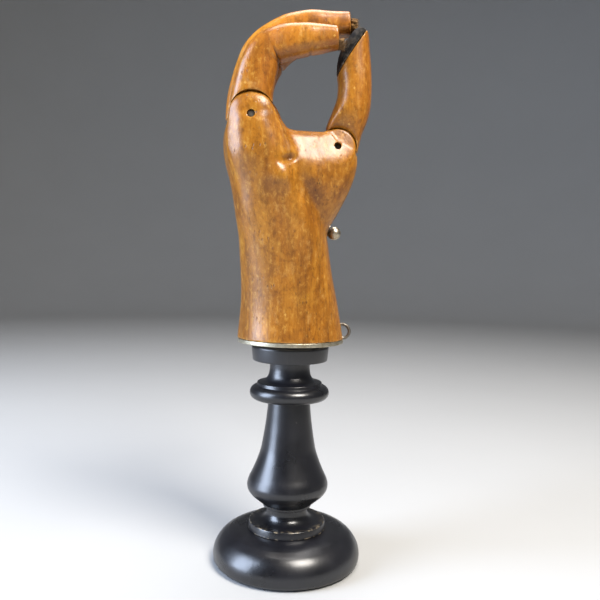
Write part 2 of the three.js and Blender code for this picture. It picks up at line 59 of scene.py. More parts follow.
# ---- The hand's dimensions ----
KNUCKLE_X, KNUCKLE_Z = -20.7, 236.3
KNUCKLE_PIN = 1.65  # radius
FINGER_OPENS = 15  # degrees
PALM_STOP = math.radians(26)  # slope where a knuckle runs into the palm
FINGER_FRONT = math.radians(36)  # where a finger's socket ends on the palm side
TONGUE = 3.5  # half the thickness of a hinge's tongue
SHOULDER = 233.8  # top of the palm's level sections, under the knuckles
WRIST_BOTTOM = 124.0
WRIST_HOLLOW, WRIST_HOLLOW_TOP = 16.0, 160.0  # the bore that clears the spigot and its nut

THUMB_X, THUMB_Z = 22.2, 224.0
THUMB_RADIUS = 9.2  # of the lobe that the thumb turns on
THUMB_PIN = 1.5  # radius
THUMB_Y = (-26.5, -4.5)

# Level sections of the palm: height, x range, y range, exponent of the superellipse
PALM = [
    (WRIST_BOTTOM, -29.0, 28.6, -28.6, 28.6, 2.0),
    (134, -28.0, 26.8, -27.6, 27.6, 2.05),
    (146, -27.3, 24.5, -27.6, 28.0, 2.15),
    (157, -27.5, 22.2, -28.2, 29.0, 2.3),
    (168, -28.2, 20.2, -29.3, 30.5, 2.5),
    (179, -28.9, 18.4, -31.0, 32.5, 2.8),
    (190, -30.5, 15.3, -33.2, 34.6, 3.1),
    (201, -32.3, 10.8, -35.4, 35.8, 2.9),
    (212, -34.7, 5.0, -37.2, 36.2, 2.7),
    (222, -36.3, -0.5, -37.9, 36.0, 2.7),
    (229, -36.2, -4.0, -37.9, 35.6, 3.0),
    (SHOULDER, -34.9, -7.0, -37.9, 35.2, 2.8),
]

WEB_FRONT = -31.0  # y of the web's front face, before it leans back

# The ball of the thumb and the web, in the same form
THENAR = [
    (160, -2, 6.0, -10.0, -4.0, 2.0),
    (170, -2, 10.0, -14.0, -3.0, 2.1),
    (177, -2, 14.6, -17.5, -2.0, 2.2),
    (184, -2, 19.6, -21.0, -1.0, 2.3),
    (193, -3, 24.6, -25.4, -2.0, 2.4),
    (203, -4, 29.4, -28.8, -3.0, 2.6),
    (211, -5, 32.0, -30.4, -3.6, 2.8),
    (217, -6, 32.9, WEB_FRONT, -4.2, 3.6),
    (222, -7, 32.4, WEB_FRONT, -4.4, 4.0),
    (226, -8, 30.6, WEB_FRONT, -4.4, 4.0),
    (231.6, -9, 27.0, WEB_FRONT, -4.5, 4.0),
]

# Fingers: y range, knuckle radius, back end of the socket in degrees, width at the tip, and the
# centreline from the pin as forward, up, thickness
FINGERS = {
    "index": (
        (-38.0, -19.6), 11.5, 160, 14.0,
        [(-0.1, 0, 23), (-0.4, 9.7, 20.8), (1.1, 18.2, 20), (2.8, 24.7, 19.4), (5.2, 31, 17.2),
         (9.4, 34.2, 17), (15.4, 36.4, 16.8), (24, 37.7, 15.6), (33.7, 38.6, 13.2),
         (41.5, 39.3, 10.4)],
    ),
    "middle": (
        (-19.0, -0.4), 13.6, 172, 14.0,
        [(-1.4, 0, 30), (-3.4, 11.7, 23), (-2.3, 20.7, 21.4), (-0.3, 29.4, 20),
         (2, 36.7, 18.2), (5.2, 41.3, 16.4), (10.8, 45.5, 15.6), (18.2, 49.3, 15.4),
         (26.4, 51.2, 14.8), (37, 51.6, 13.6), (48.3, 52.4, 11.9)],
    ),
    "ring": (
        (0.2, 18.6), 13.2, 172, 13.4,
        [(-1.6, 0, 28), (-3.6, 11.7, 22), (-2.4, 20.7, 20.6), (0.2, 29, 19.6), (3.2, 34.8, 19),
         (6.6, 39.4, 18.2), (11.4, 43.8, 16.8), (18, 47.6, 15.4), (25.7, 49.8, 14.2),
         (34.7, 50.8, 12.2), (42.6, 51.4, 9.8)],
    ),
    "little": (
        (19.2, 35.2), 10.6, 160, 11.6,
        [(-0.4, 0, 21), (-2, 9.7, 18), (-2.4, 17.7, 16.6), (-1.4, 25.7, 15.4), (0.6, 34, 14.4),
         (4.4, 42, 13.4), (9.8, 48.2, 12.7), (16.4, 52.2, 12.2), (23.4, 54.2, 11.6),
         (30.5, 55, 10)],
    ),
}
THUMB_SPINE = [
    (1, 0, 19.6), (3.8, 10.3, 18.5), (5.8, 15.4, 18.4), (7.5, 20.9, 18), (8.2, 26.3, 17.4),
    (8.2, 33, 17.2), (7.7, 38.4, 17.6), (7.7, 44, 16.8), (8.6, 50, 14.2), (9.9, 54.6, 10.8),
    (11, 58.8, 7.2),
]
THUMB_WIDTH, THUMB_TIP = 22.0, 18.0
PAD_FROM, PAD_TO = (22.2, 261.5), (36.0, 283.0)

# The brake inside the hand, the knob's bush and the wire eye
ROCKER_X, ROCKER_Z, ROCKER_HUB = 1.0, 200.0, 3.2
ROCKER_Y = (-18.0, 4.0)
KNOB_X, KNOB_Z, KNOB_BALL = 22.5, 181.2, 3.65
BUSH_RADIUS, BUSH_OUTER = 3.0, 16.0
EYE_X, EYE_Z, EYE_BEND, EYE_WIRE, EYE_LEG = 28.2, 127.9, 3.9, 0.85, 7.0
EYE_LEGS = (125.2, 131.8)
SCREW_RING, SCREW_BORE = 24.3, 1.8
PLATE_SCREWS = [
    (SCREW_RING * math.cos(a), SCREW_RING * math.sin(a)) for a in np.radians([45, 135, 225, 315])
]


# ---- Signed distances, in millimetres: negative is inside ----
def either(a, b, round_by=0.01):
    """The union of two solids, with a fillet of about round_by where they meet."""
    near = np.maximum(round_by - np.abs(a - b), 0) / round_by
    return np.minimum(a, b) - near * near * round_by / 4


def both(a, b, round_by=0.01):
    return -either(-a, -b, round_by)


def without(a, b, round_by=0.01):
    return both(a, -b, round_by)


def curve_through(knots, values, at):
    """Catmull-Rom interpolation of values, which may be a table, at positions along the knots."""
    knots = np.asarray(knots, float)
    values = np.asarray(values, float)
    slopes = np.gradient(values, knots, axis=0)
    at = np.clip(at, knots[0], knots[-1])
    i = np.clip(np.searchsorted(knots, at, side="right") - 1, 0, len(knots) - 2)
    span = knots[i + 1] - knots[i]
    t = (at - knots[i]) / span
    if values.ndim > 1:
        t, span = t[..., None], span[..., None]
    a = (1 + 2 * t) * (1 - t) ** 2 * values[i] + t * (1 - t) ** 2 * span * slopes[i]
    return a + t * t * (3 - 2 * t) * values[i + 1] - t * t * (1 - t) * span * slopes[i + 1]


def superellipse(u, v, half_u, half_v, power):
    """Distance from a superellipse, measured along the ray from its middle."""
    reach = (np.abs(u) / half_u) ** power + (np.abs(v) / half_v) ** power
    scale = np.maximum(reach, 1e-6) ** (1 / power)
    out = np.hypot(u, v)
    return np.where(scale > 0.05, out - out / scale, -np.minimum(half_u, half_v))


def level_body(rows, x, y, z, ends):
    """A solid with level superellipse sections, its ends rounded by so much."""
    heights = [row[0] for row in rows]
    size = curve_through(heights, [row[1:] for row in rows], z)
    x0, x1, y0, y1, power = np.moveaxis(size, -1, 0)
    side = superellipse(x - (x0 + x1) / 2, y - (y0 + y1) / 2, (x1 - x0) / 2, (y1 - y0) / 2, power)
    return both(both(side, heights[0] - z, ends[0]), z - heights[-1], ends[1])


class Limb:
    """A finger or thumb: superellipse sections along a centreline that lies in one x, z plane."""

    def __init__(self, pivot, spine, y, widths, power, samples=240):
        self.y = sum(y) / 2
        self.widths, self.power = widths, power
        points = np.array([(pivot[0] + p[0], pivot[1] + p[1]) for p in spine], float)
        length = np.hypot(*np.diff(points, axis=0).T).cumsum()
        knots = np.concatenate([[0], length])
        self.at = np.linspace(0, knots[-1], samples)
        self.line = curve_through(knots, points, self.at)
        self.thick = curve_through(knots, [p[2] for p in spine], self.at)
        along = np.gradient(self.line, self.at, axis=0)
        self.along = along / np.hypot(*along.T)[:, None]
        self.length = knots[-1]

    def frame(self, x, z):
        """How far along the limb a point is, as a share of its length, and its offset across it."""
        flat = np.stack([np.ravel(x), np.ravel(z)], axis=1)
        nearest = np.empty(len(flat), int)
        for start in range(0, len(flat), 20000):
            part = flat[start : start + 20000]
            gaps = (part[:, None, 0] - self.line[None, :, 0]) ** 2
            gaps += (part[:, None, 1] - self.line[None, :, 1]) ** 2
            nearest[start : start + 20000] = gaps.argmin(axis=1)
        offset = flat - self.line[nearest]
        along = self.along[nearest]
        beyond = (offset * along).sum(axis=1)
        across = offset[:, 0] * along[:, 1] - offset[:, 1] * along[:, 0]
        share = (self.at[nearest] + beyond) / self.length
        return share.reshape(np.shape(x)), across.reshape(np.shape(x))

    def distance(self, x, y, z, swell, tip_round):
        """swell(share), which may be None, widens the limb at its joints."""
        share, across = self.frame(x, z)
        thick = np.interp(share * self.length, self.at, self.thick)
        wide = self.widths[0] + (self.widths[1] - self.widths[0]) * np.clip(share, 0, 1) ** 2
        if swell is not None:
            wide = wide + swell(share)
        side = superellipse(across, y - self.y, thick / 2, wide / 2, self.power)
        tip = (share - 1) * self.length
        return both(side, tip, tip_round)


def from_pivot(x, z, pivot):
    """Radius and angle round a hinge, the angle from +X towards +Z."""
    dx, dz = x - pivot[0], z - pivot[1]
    return np.hypot(dx, dz), np.arctan2(dz, dx)


def wedge(radius, angle, start, end):
    """The space between two angles round a hinge."""
    middle, half = (start + end) / 2, (end - start) / 2
    off = np.abs((angle - middle + np.pi) % (2 * np.pi) - np.pi)
    return np.where(off - half < np.pi / 2, radius * np.sin(off - half), radius)


def slab(y, low, high):
    return np.abs(y - (low + high) / 2) - (high - low) / 2


def box(x, y, z, x_range, y_range, z_range):
    return np.maximum(np.maximum(slab(x, *x_range), slab(y, *y_range)), slab(z, *z_range))


def rise(value, start, end):
    """0 before start, 1 after end, and smooth between them."""
    t = np.clip((value - start) / (end - start), 0, 1)
    return t * t * (3 - 2 * t)


def bump(x, y, z, centre, size, turn):
    """A smooth swelling: 1 in its middle, falling away over size. turn leans it in x and z."""
    dx, dy, dz = x - centre[0], y - centre[1], z - centre[2]
    u = dx * math.cos(turn) + dz * math.sin(turn)
    w = -dx * math.sin(turn) + dz * math.cos(turn)
    return np.exp(-((u / size[0]) ** 2) - (dy / size[1]) ** 2 - (w / size[2]) ** 2)


def carved(x, y, z, amount):
    """The slight unevenness that a spokeshave and a gouge leave."""
    wave = np.sin(0.21 * x + 0.11 * z + 1.3) * np.sin(0.23 * y - 0.09 * z)
    wave += 0.5 * np.sin(0.17 * z + 0.31 * y + 0.4) * np.sin(0.37 * x + 0.8)
    return amount * wave


# ---- Meshing ----
CORNERS = np.array([(i, j, k) for i in (0, 1) for j in (0, 1) for k in (0, 1)])
CELL_EDGES = [(a, b) for a in range(8) for b in range(a + 1, 8) if (CORNERS[a] ^ CORNERS[b]).sum() == 1]


def net_points(value, step, low):
    """One point in each cell that the surface passes through, and the number of each such cell."""
    shape = np.array(value.shape) - 1
    corner = [value[i : i + shape[0], j : j + shape[1], k : k + shape[2]] for i, j, k in CORNERS]
    inside = sum((c < 0).astype(np.int8) for c in corner)
    cells = np.argwhere((inside > 0) & (inside < 8))
    at = tuple(cells.T)
    total = np.zeros((len(cells), 3))
    count = np.zeros(len(cells))
    for a, b in CELL_EDGES:
        va, vb = corner[a][at], corner[b][at]
        crossed = (va < 0) != (vb < 0)
        share = np.where(crossed, va / np.where(crossed, va - vb, 1), 0)[:, None]
        point = CORNERS[a] + share * (CORNERS[b] - CORNERS[a])
        total += np.where(crossed[:, None], point, 0)
        count += crossed
    number = np.full(shape, -1)
    number[at] = np.arange(len(cells))
    return (cells + total / count[:, None]) * step + low, number


def net_faces(value, number):
    """A quad round each grid edge that the surface crosses."""
    faces = []
    for axis in range(3):
        ahead = np.moveaxis(value, axis, 0)
        cells = np.moveaxis(number, axis, 0)
        start, end = ahead[:-1, 1:-1, 1:-1] < 0, ahead[1:, 1:-1, 1:-1] < 0
        for out in (True, False):
            i, j, k = np.nonzero((start == out) & (end != out))
            quad = np.stack(
                [cells[i, j, k], cells[i, j + 1, k], cells[i, j + 1, k + 1], cells[i, j, k + 1]],
                axis=1,
            )
            faces.append(quad if out == (axis != 1) else quad[:, ::-1])
    return np.concatenate(faces)


def settle(points, distance, step):
    """Moves the points on to the surface itself."""
    nudge = 0.05
    for _ in range(3):
        here = distance(*points.T)
        slope = np.stack(
            [
                (distance(*(points + nudge * unit).T) - distance(*(points - nudge * unit).T))
                / (2 * nudge)
                for unit in np.eye(3)
            ],
            axis=1,
        )
        move = here[:, None] * slope / np.maximum((slope**2).sum(axis=1), 0.05)[:, None]
        size = np.linalg.norm(move, axis=1)[:, None]
        points = points - move * np.minimum(1, 0.4 * step / np.maximum(size, 1e-9))
    return points


def add_mesh(name, points, faces, sharp=38):
    mesh = bpy.data.meshes.new(name)
    mesh.from_pydata(np.asarray(points).tolist(), [], [list(face) for face in faces])
    mesh.polygons.foreach_set("use_smooth", [True] * len(mesh.polygons))
    mesh.set_sharp_from_angle(angle=math.radians(sharp))
    mesh.validate()
    obj = bpy.data.objects.new(name, mesh)
    bpy.context.collection.objects.link(obj)
    return obj


def solid(name, distance, low, high, step=STEP):
    """Meshes distance(x, y, z) < 0 inside a box of millimetres."""
    low = np.array(low, float) - 2 * step
    counts = np.ceil((np.array(high) + 2 * step - low) / step).astype(int) + 1
    axes = [low[i] + step * np.arange(counts[i]) for i in range(3)]
    x, y, z = np.meshgrid(*axes, indexing="ij")
    value = distance(x, y, z)
    points, number = net_points(value, step, low)
    faces = net_faces(value, number)
    return add_mesh(name, settle(points, distance, step) * MM, faces)


def turned(name, profile, sides=160):
    """A turned piece from radius and height in millimetres, from the bottom's middle to the top's."""
    rings = [(r, z) for r, z in profile if r > 0]
    angle = np.arange(sides) * 2 * math.pi / sides
    points = [(r * math.cos(a), r * math.sin(a), z) for r, z in rings for a in angle]
    faces = []
    for ring in range(len(rings) - 1):
        for side in range(sides):
            a, b = ring * sides + side, ring * sides + (side + 1) % sides
            faces.append((a, b, b + sides, a + sides))
    faces.append(tuple(reversed(range(sides))))
    faces.append(tuple(range((len(rings) - 1) * sides, len(rings) * sides)))
    return add_mesh(name, np.array(points) * MM, faces, sharp=50)


def round_corner(before, corner, after, radius, steps=5):
    """Points on an arc that rounds a corner of a turned profile."""
    before, corner, after = (np.array(p, float) for p in (before, corner, after))
    start = corner + (before - corner) / np.linalg.norm(before - corner) * radius
    end = corner + (after - corner) / np.linalg.norm(after - corner) * radius
    share = np.linspace(0, 1, steps + 1)[:, None]
    curve = (1 - share) ** 2 * start + 2 * share * (1 - share) * corner + share**2 * end
    return [tuple(p) for p in curve]


def rounded(profile, radii):
    """A profile with its inner corners rounded, each by its own radius."""
    out = [profile[0]]
    for before, corner, after, radius in zip(profile, profile[1:], profile[2:], radii):
        out += round_corner(before, corner, after, radius)
    return out + [profile[-1]]


def smooth_profile(points, steps=8):
    """A curve through a turned profile's points."""
    points = np.array(points, float)
    knots = np.concatenate([[0], np.hypot(*np.diff(points, axis=0).T).cumsum()])
    at = np.concatenate([np.linspace(a, b, steps, endpoint=False) for a, b in zip(knots, knots[1:])])
    return [tuple(p) for p in curve_through(knots, points, np.append(at, knots[-1]))]


def arc(r, z, radius, start, end, steps=14):
    """Points on an arc of a turned profile, in degrees from outwards towards up."""
    angles = np.radians(np.linspace(start, end, steps + 1))
    return [(r + radius * math.cos(a), z + radius * math.sin(a)) for a in angles]


# ---- Procedural materials ----
class Shader:
    """A material's node tree, with short ways to add the nodes that these materials use."""

    def __init__(self, name):
        self.material = bpy.data.materials.new(name)
        self.material.use_nodes = True
        self.tree = self.material.node_tree
        self.surface = self.tree.nodes["Principled BSDF"]
        self.place = self.node("ShaderNodeTexCoord").outputs["Object"]

    def node(self, kind, **settings):
        node = self.tree.nodes.new(kind)
        for key, value in settings.items():
            setattr(node, key, value)
        return node

    def put(self, socket, value):
        if hasattr(value, "links"):
            self.tree.links.new(value, socket)
        else:
            socket.default_value = value

    def stretched(self, scale, offset=(0, 0, 0)):
        node = self.node("ShaderNodeMapping")
        self.put(node.inputs["Vector"], self.place)
        node.inputs["Scale"].default_value = scale
        node.inputs["Location"].default_value = offset
        return node.outputs["Vector"]

    def noise(self, scale, stretch=(1, 1, 1), detail=4.0, roughness=0.55, warp=0.0, offset=0.0):
        node = self.node("ShaderNodeTexNoise")
        self.put(node.inputs["Vector"], self.stretched(stretch, (offset, offset, offset)))
        node.inputs["Scale"].default_value = scale
        node.inputs["Detail"].default_value = detail
        node.inputs["Roughness"].default_value = roughness
        node.inputs["Distortion"].default_value = warp
        return node.outputs["Fac"]

    def cells(self, scale, stretch=(1, 1, 1), feature="F1"):
        node = self.node("ShaderNodeTexVoronoi", feature=feature)
        self.put(node.inputs["Vector"], self.stretched(stretch))
        node.inputs["Scale"].default_value = scale
        return node.outputs["Distance"]

    def band(self, value, low, high, start=0.0, end=1.0):
        """value carried from low..high to start..end, and clamped."""
        node = self.node("ShaderNodeMapRange")
        self.put(node.inputs["Value"], value)
        for key, number in (("From Min", low), ("From Max", high), ("To Min", start), ("To Max", end)):
            node.inputs[key].default_value = number
        return node.outputs["Result"]

    def near_height(self, level, width):
        """1 at a height in millimetres, fading to 0 at width from it."""
        height = self.node("ShaderNodeSeparateXYZ")
        self.put(height.inputs["Vector"], self.place)
        off = self.math("ABSOLUTE", self.math("SUBTRACT", height.outputs["Z"], level * MM))
        return self.band(off, 0.3 * width * MM, width * MM, 1, 0)

    def ramp(self, value, stops):
        node = self.node("ShaderNodeValToRGB")
        self.put(node.inputs["Fac"], value)
        elements = node.color_ramp.elements
        for _ in range(len(stops) - 2):
            elements.new(0.5)
        for element, (at, colour) in zip(elements, stops):
            element.position = at
            element.color = (*colour, 1)
        return node.outputs["Color"]

    def mix(self, share, a, b):
        """a where share is 0 and b where it is 1; either may be a plain colour."""
        node = self.node("ShaderNodeMix", data_type="RGBA")
        for socket, value in ((node.inputs[0], share), (node.inputs[6], a), (node.inputs[7], b)):
            self.put(socket, (*value, 1) if isinstance(value, tuple) else value)
        return node.outputs[2]

    def math(self, operation, a, b=0.0):
        node = self.node("ShaderNodeMath", operation=operation)
        self.put(node.inputs[0], a)
        self.put(node.inputs[1], b)
        return node.outputs[0]

    def crease(self, low, high):
        """0 in a hollow and 1 on a sharp edge, from the surface's own pointiness."""
        node = self.node("ShaderNodeNewGeometry")
        return self.band(node.outputs["Pointiness"], low, high)

    def relief(self, height, depth, strength, over=None):
        """depth is in millimetres, and over is another relief that this one is added to."""
        node = self.node("ShaderNodeBump")
        self.put(node.inputs["Height"], height)
        node.inputs["Distance"].default_value = depth * MM
        node.inputs["Strength"].default_value = strength
        if over is not None:
            self.put(node.inputs["Normal"], over)
        return node.outputs["Normal"]

    def finish(self, **values):
        for key, value in values.items():
            self.put(self.surface.inputs[key.replace("_", " ")], value)
        return self.material


def fruitwood(name, red=0.0, offset=0.0):
    """Aged, varnished fruitwood with its grain along Z."""
    s = Shader(name)
    figure = s.noise(26, (1, 1, 0.12), detail=3, warp=0.8, offset=offset)
    streaks = s.noise(210, (1, 1, 0.05), detail=5, roughness=0.68, warp=0.4, offset=offset)
    fibres = s.noise(1300, (1, 1, 0.035), detail=3, roughness=0.6, offset=offset)
    blotches = s.noise(60, (1, 1, 0.6), detail=5, roughness=0.62, warp=0.5, offset=offset + 3)
    mottle = s.noise(420, (1, 1, 0.7), detail=6, roughness=0.72, warp=0.3, offset=offset + 6)
    base = s.ramp(
        figure,
        [(0.3, (0.2 + red, 0.062, 0.005)), (0.5, (0.33 + red, 0.122, 0.009)),
         (0.72, (0.46 + red, 0.195, 0.018))],
    )
    base = s.mix(s.band(streaks, 0.44, 0.7, 0, 0.65), base, (0.1, 0.031, 0.003))
    base = s.mix(s.band(fibres, 0.5, 0.78, 0, 0.3), base, (0.5, 0.245, 0.035))
    base = s.mix(s.band(blotches, 0.5, 0.68, 0, 0.45), base, (0.115, 0.034, 0.004))
    base = s.mix(s.band(blotches, 0.44, 0.26, 0, 0.45), base, (0.5, 0.25, 0.033))
    base = s.mix(s.band(mottle, 0.52, 0.68, 0, 0.6), base, (0.09, 0.027, 0.003))
    base = s.mix(s.band(mottle, 0.46, 0.3, 0, 0.55), base, (0.58, 0.31, 0.06))
    rare = s.band(s.noise(75, detail=2, offset=offset + 9), 0.5, 0.62)
    flecks = s.math("MULTIPLY", s.band(s.cells(560, (1, 1, 0.4)), 0.1, 0.24, 1, 0), rare)
    base = s.mix(s.math("MULTIPLY", flecks, 0.6), base, (0.045, 0.013, 0.002))
    base = s.mix(s.math("MULTIPLY", s.crease(0.492, 0.42), 0.9), base, (0.03, 0.008, 0.001))
    base = s.mix(s.math("MULTIPLY", s.crease(0.53, 0.6), 0.5), base, (0.62, 0.36, 0.09))
    scuffs = s.band(s.noise(170, (1, 1, 0.6), detail=7, roughness=0.78, offset=offset + 5), 0.56, 0.7)
    base = s.mix(s.math("MULTIPLY", scuffs, 0.4), base, (0.6, 0.34, 0.09))
    rough = s.math("ADD", s.band(blotches, 0.3, 0.7, 0.26, 0.4), s.math("MULTIPLY", scuffs, 0.25))
    grain = s.relief(streaks, 0.25, 0.5)
    grain = s.relief(fibres, 0.06, 0.5, grain)
    grain = s.relief(flecks, -0.2, 0.8, grain)
    grain = s.relief(mottle, 0.1, 0.6, grain)
    grain = s.relief(s.noise(230, detail=5, roughness=0.6, offset=offset + 7), 0.22, 0.5, grain)
    return s.finish(
        Base_Color=base, Roughness=rough, Normal=grain, Coat_Weight=0.14, Coat_Roughness=0.22,
        Specular_IOR_Level=0.36,
    )


def ebonised(name):
    """Wood stained black and waxed, rubbed through on its edges."""
    s = Shader(name)
    grain = s.noise(420, (1, 1, 0.08), detail=5, roughness=0.6)
    clouds = s.noise(45, detail=4)
    base = s.ramp(clouds, [(0.3, (0.004, 0.004, 0.005)), (0.7, (0.009, 0.009, 0.012))])
    base = s.mix(s.band(grain, 0.6, 0.8, 0, 0.4), base, (0.03, 0.027, 0.027))
    chips = s.band(s.noise(500, detail=3), 0.5, 0.62)
    edges = s.math("MAXIMUM", s.near_height(19.25, 0.35), s.near_height(22.65, 0.3))
    worn = s.math("MULTIPLY", s.math("MAXIMUM", s.crease(0.535, 0.57), edges), chips)
    base = s.mix(s.math("MULTIPLY", worn, 0.8), base, (0.26, 0.21, 0.14))
    dust = s.band(s.noise(900, detail=3, offset=4), 0.68, 0.76)
    base = s.mix(s.math("MULTIPLY", dust, 0.25), base, (0.2, 0.19, 0.18))
    rough = s.math("ADD", s.band(clouds, 0.3, 0.7, 0.25, 0.36), s.math("MULTIPLY", dust, 0.2))
    normal = s.relief(grain, 0.05, 0.5)
    normal = s.relief(s.noise(160, detail=5, offset=2), 0.16, 0.45, normal)
    return s.finish(Base_Color=base, Roughness=rough, Normal=normal, Specular_IOR_Level=0.7)


def metal(name, colour, dark, rough, brushed=(1, 1, 1)):
    """Old metal: tarnish in blotches, fine scratches, and its hollows darker."""
    s = Shader(name)
    tarnish = s.noise(220, detail=6, roughness=0.7)
    lines = s.noise(1400, brushed, detail=4, roughness=0.7)
    base = s.mix(s.band(tarnish, 0.42, 0.68), colour, dark)
    base = s.mix(s.math("MULTIPLY", s.crease(0.49, 0.42), 0.7), base, (0.03, 0.025, 0.02))
    scratched = s.band(lines, 0.5, 0.8, 0, 0.1)
    rough = s.math("ADD", s.band(tarnish, 0.35, 0.7, rough, rough + 0.22), scratched)
    normal = s.relief(lines, 0.012, 0.6)
    normal = s.relief(tarnish, 0.03, 0.4, normal)
    return s.finish(Base_Color=base, Roughness=rough, Metallic=1.0, Normal=normal)


def felt(name, light, dark):
    """Matted wool, darker in patches."""
    s = Shader(name)
    tufts = s.noise(700, detail=7, roughness=0.75, warp=1.2)
    patches = s.noise(220, detail=4, offset=3)
    base = s.mix(tufts, dark, light)
    base = s.mix(s.band(patches, 0.45, 0.7, 0, 0.6), base, dark)
    normal = s.relief(tufts, 0.3, 0.9)
    return s.finish(
        Base_Color=base, Roughness=0.95, Normal=normal, Sheen_Weight=0.15, Sheen_Roughness=0.4,
        Specular_IOR_Level=0.15,
    )


def hide(name, colour, worn, rough, crease_scale):
    """Leather or old rubber: a pebbled face with cracks, rubbed paler at its edges."""
    s = Shader(name)
    cracks = s.cells(crease_scale, (1, 1, 1), "DISTANCE_TO_EDGE")
    cracks = s.band(cracks, 0.0, 0.09)
    patches = s.noise(180, detail=5, roughness=0.65)
    base = s.mix(s.band(patches, 0.5, 0.72, 0, 0.7), colour, worn)
    base = s.mix(s.math("MULTIPLY", s.crease(0.53, 0.6), 0.9), base, worn)
    base = s.mix(s.math("MULTIPLY", s.math("SUBTRACT", 1.0, cracks), 0.6), base, (0.006, 0.005, 0.005))
    normal = s.relief(cracks, 0.08, 0.6)
    normal = s.relief(s.noise(900, detail=5), 0.08, 0.6, normal)
    return s.finish(
        Base_Color=base, Roughness=s.band(patches, 0.3, 0.7, rough, rough + 0.2), Normal=normal,
        Specular_IOR_Level=0.2,
    )


MATERIALS = {
    "palm": fruitwood("palm_wood"),
    "finger_index": fruitwood("index_wood", 0.03, 1.7),
    "finger_middle": fruitwood("middle_wood", 0.04, 4.1),
    "finger_ring": fruitwood("ring_wood", 0.03, 6.3),
    "finger_little": fruitwood("little_wood", 0.02, 8.9),
    "thumb": fruitwood("thumb_wood", 0.01, 11.3),
    "ebonised": ebonised("ebonised"),
    "steel": metal("steel", (0.24, 0.22, 0.19), (0.09, 0.07, 0.05), 0.4),
    "aluminium": metal("aluminium", (0.52, 0.48, 0.37), (0.26, 0.22, 0.14), 0.34, (1, 1, 0.1)),
    "brass": metal("nickelled_brass", (0.5, 0.44, 0.34), (0.28, 0.2, 0.11), 0.3),
    "felt": felt("felt", (0.3, 0.17, 0.06), (0.05, 0.022, 0.008)),
    "rubber": hide("old_rubber", (0.004, 0.004, 0.004), (0.13, 0.105, 0.08), 0.6, 420),
    "leather": hide("leather", (0.11, 0.045, 0.02), (0.26, 0.14, 0.07), 0.5, 700),
}


def dress(obj, material):
    obj.data.materials.clear()
    obj.data.materials.append(MATERIALS[material])


def finish_piece(obj, body, nodes, slot, material=None):
    """Gives a new piece its material and body, and hides its CAD nodes; slot is the material when none is
    given.
    """
    dress(obj, material or slot)
    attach(obj, body)
    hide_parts(*nodes)
    return obj


# ---- The stand ----
def make_stand():
    foot = [(38.4, 0.4), (39.9, 2.0), (40.4, 4.8), (39.9, 8.3), (38.2, 11.8), (35.5, 14.9), (31.6, 17.3)]
    foot = [(0.5, 0.4), (37, 0.4), *smooth_profile(foot), (27, 18.6), (22, 18.75), (0.5, 18.8)]
    finish_piece(turned("stand_foot", foot), "stand", ["foot"], "ebonised")

    disc = rounded([(0.5, 18.8), (21.6, 18.8), (20.8, 22.8), (16.4, 23.1)], [0.5, 0.5])
    lower_cove = arc(16.4, 28.2, 5.2, -90, -180)
    fillet = rounded([(11.2, 30.6), (13.3, 30.6), (13.3, 32.4), (14.2, 32.7)], [0.5, 0.5])
    belly = smooth_profile(
        [(14.2, 32.7), (17.2, 35.2), (20.5, 38.2), (22.1, 41), (22.3, 43.2), (21.7, 45.6), (19.6, 50.2),
         (17.2, 56), (15.3, 61.6), (14.2, 67.2), (13.3, 72.8), (12.5, 78.4), (11.9, 83.9), (11.4, 89)]
    )
    bead = arc(18, 94, 3.75, -90, 90)
    cap = rounded([(17.9, 97.9), (17.7, 99.6), (16.8, 99.8)], [0.4])
    upper_cove = smooth_profile([(16.8, 99.8), (13.9, 100.6), (11.9, 102.8), (11.1, 106), (11.1, 111.6)])
    column = [*disc[:-1], *lower_cove, *fillet, *belly[1:], (11.6, 90.25), *bead, *cap, *upper_cove[1:]]
    column += [(0.5, 111.6)]
    finish_piece(turned("stand_column", column), "stand", ["column"], "ebonised")

    collar = rounded([(0.5, 111.7), (20.4, 111.7), (21.1, 119), (20.6, 120.2), (0.5, 120.2)], [0.5, 0.5, 0.4])
    finish_piece(turned("stand_collar", collar), "stand", ["collar"], "ebonised")

    plate = rounded([(0.5, 121.78), (28.8, 121.78), (28.8, 123.9), (0.5, 123.9)], [0.3, 0.45])
    finish_piece(turned("wrist_disc", plate), "hand", ["wrist_plate"], "aluminium")


# ---- The palm ----
def knuckle_profile(x, z, radius):
    """Side of a knuckle: round over the pin, straight at the back, sloping into the palm in front."""
    out, angle = from_pivot(x, z, (KNUCKLE_X, KNUCKLE_Z))
    front = (x - KNUCKLE_X) * math.cos(PALM_STOP) + (z - KNUCKLE_Z) * math.sin(PALM_STOP)
    back = -(x - KNUCKLE_X)
    angle = np.where(angle < -np.pi / 2, angle + 2 * np.pi, angle)
    over = (angle > PALM_STOP) & (angle < np.pi)
    return np.where(over, out, np.maximum(front, back)) - radius


def knuckle(x, y, z, finger, outer):
    """One knuckle, bevelled round its flank. outer is the side, -1 or 1, that shows, or 0."""
    y_range, radius = finger[0], finger[1]
    side = knuckle_profile(x, z, radius)
    middle, half = sum(y_range) / 2, (y_range[1] - y_range[0]) / 2 + 0.2
    crown = np.clip(1 + side / radius, 0, 1.3) ** 2
    flank = slab(y, middle - half, middle + half) + np.where((y - middle) * outer > 0, crown, 0)
    sunk = 9.0 * (1 - rise(z, 192, 226)) ** 1.5
    side, flank = side + 0.8 * sunk, flank + sunk
    bevel = 0.47 * side + 0.88 * flank + 1.7 + 2.1 * (1 - rise(z, 226, 246))
    ridge = 1.2 + 8.0 * (1 - rise(z, 206, 222))
    return both(both(both(side, flank, 1.0), bevel, ridge), 194 - z, 5.0)


